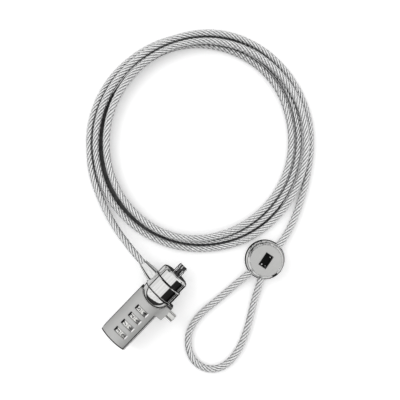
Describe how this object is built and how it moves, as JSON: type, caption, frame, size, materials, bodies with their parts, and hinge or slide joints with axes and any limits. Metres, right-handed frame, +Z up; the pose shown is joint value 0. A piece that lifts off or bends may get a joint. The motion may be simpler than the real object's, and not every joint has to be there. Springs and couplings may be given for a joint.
{
  "type": "laptop cable lock",
  "caption": "Combination lock head with a turning tee bar and push button, on a swivel collar, with a coiled wire rope and a round loop stop.",
  "frame": {"origin": "on the surface the lock lies on, under the middle of the lock head (cable and loop stop not counted)", "axes": "+X from the tail of the lock head to its nose, +Y towards the cable socket, +Z up"},
  "size_m": [0.2014, 0.1873, 0.0209],
  "materials": {
    "satin_nickel": "satin nickel plate",
    "bright_chrome": "polished chrome plate",
    "button_metal": "satin chrome",
    "tee_metal": "polished steel",
    "dial_metal": "satin, dark digits",
    "inner_steel": "machined",
    "inner_brass": "machined",
    "spring_steel": "spring wire",
    "cable_jacket": "clear jacket over twisted steel strands",
    "slot_dark": "blackened steel"
  },
  "bodies": {
    "cable_assembly": {"cable_collar": "bright_chrome", "cable_end_stop": "inner_steel", "cable_tail": "cable_jacket", "cable_coil": "cable_jacket", "cable_loop": "cable_jacket", "stop_lower_shell": "bright_chrome", "stop_upper_shell": "bright_chrome", "stop_slot_insert": "slot_dark", "stop_face_plate": "satin_nickel", "stop_screws": "inner_steel", "loop_ferrule": "inner_steel"},
    "lock_body": {"neck_body": "bright_chrome", "neck_pins": "inner_steel", "nose_barrel": "bright_chrome", "nose_face": "tee_metal", "housing_shell": "bright_chrome", "face_plate": "satin_nickel", "base_cover": "bright_chrome", "cover_screws": "inner_steel", "detent_spring": "spring_steel", "spindle": "inner_brass", "button_spring": "spring_steel"},
    "tee_set": {"t_bar": "tee_metal", "pinion": "inner_brass", "t_bar_clip": "spring_steel"},
    "button_set": {"push_button": "button_metal", "button_rack": "inner_steel"},
    "reset_set": {"reset_selector": "inner_brass"},
    "dial_set_1": {"dial_1": "dial_metal", "code_sleeve_1": "inner_brass"},
    "dial_set_2": {"dial_2": "dial_metal", "code_sleeve_2": "inner_brass"},
    "dial_set_3": {"dial_3": "dial_metal", "code_sleeve_3": "inner_brass"},
    "dial_set_4": {"dial_4": "dial_metal", "code_sleeve_4": "inner_brass"}
  },
  "joints": [
    {"name": "collar_swivel", "type": "hinge", "parent": "cable_assembly", "child": "lock_body", "pos_m": [0.0131, -0.00096, 0.0105], "axis": [1, 0, 0], "continuous": true},
    {"name": "button_press", "type": "slide", "parent": "lock_body", "child": "button_set", "axis": [0, 1, 0], "range_m": [0, 0.00314], "stiffness_N_per_m": 350, "springref_m": -0.0015, "deforming": ["button_spring"]},
    {"name": "t_bar_turn", "type": "hinge", "parent": "lock_body", "child": "tee_set", "pos_m": [0.0131, -0.00096, 0.0105], "axis": [1, 0, 0], "range_deg": [-0.5, 90.5]},
    {"name": "reset_turn", "type": "hinge", "parent": "lock_body", "child": "reset_set", "pos_m": [0.0131, -0.00096, 0.0105], "axis": [1, 0, 0], "range_deg": [0, 90]},
    {"name": "dial_1_turn", "type": "hinge", "parent": "lock_body", "child": "dial_set_1", "pos_m": [0.0131, -0.00096, 0.0105], "axis": [1, 0, 0], "continuous": true},
    {"name": "dial_2_turn", "type": "hinge", "parent": "lock_body", "child": "dial_set_2", "pos_m": [0.0131, -0.00096, 0.0105], "axis": [1, 0, 0], "continuous": true},
    {"name": "dial_3_turn", "type": "hinge", "parent": "lock_body", "child": "dial_set_3", "pos_m": [0.0131, -0.00096, 0.0105], "axis": [1, 0, 0], "continuous": true},
    {"name": "dial_4_turn", "type": "hinge", "parent": "lock_body", "child": "dial_set_4", "pos_m": [0.0131, -0.00096, 0.0105], "axis": [1, 0, 0], "continuous": true}
  ],
  "couplings": [
    {"joint": "t_bar_turn", "follows": "button_press", "rad_per_m": 500}
  ]
}
